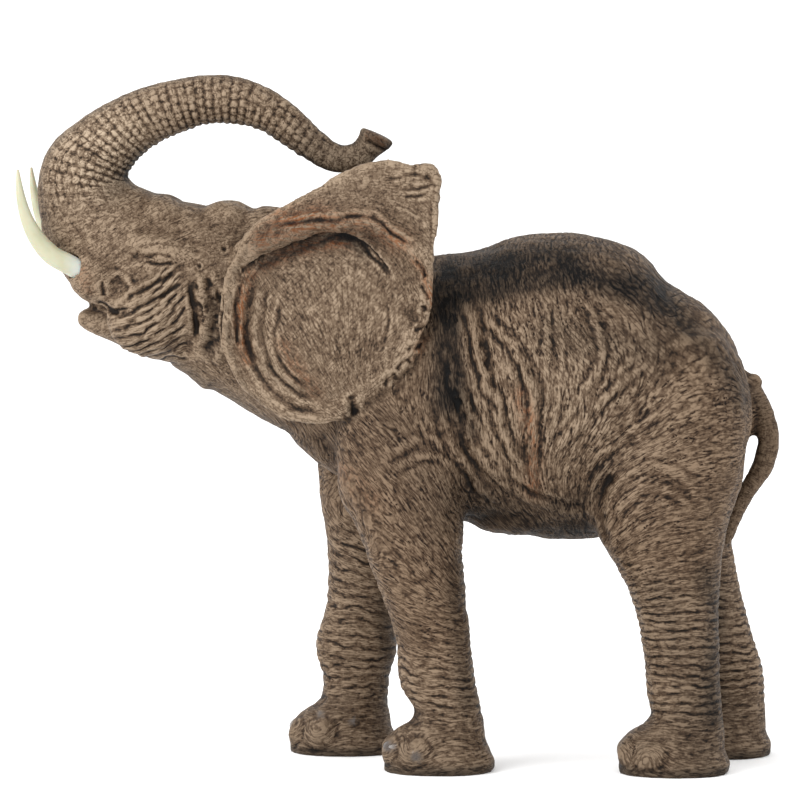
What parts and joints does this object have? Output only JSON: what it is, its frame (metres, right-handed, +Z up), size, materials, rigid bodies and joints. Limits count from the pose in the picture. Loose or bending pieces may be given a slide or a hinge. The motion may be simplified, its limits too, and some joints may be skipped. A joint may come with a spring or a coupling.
{
  "type": "elephant figurine",
  "caption": "Standing African elephant figurine in wrinkled brown cast resin, trunk thrown back over the head, spread ears, curled tail and slender ivory-coloured tusks.",
  "frame": {"origin": "on the supporting surface, under the middle of the whole figure's box", "axes": "+X towards the tail (the animal faces -X), +Y towards its right side, +Z up"},
  "size_m": [0.3059, 0.1082, 0.2782],
  "materials": {
    "antiqued_resin": "satin, carved all over, dark brown wash in the grooves and dry-brushed taupe on the ridges",
    "ivory_resin": "smooth, slightly translucent, pale ivory"
  },
  "bodies": {
    "root": {"elephant_cast": "antiqued_resin", "left_tusk": "ivory_resin", "right_tusk": "ivory_resin"}
  },
  "joints": []
}
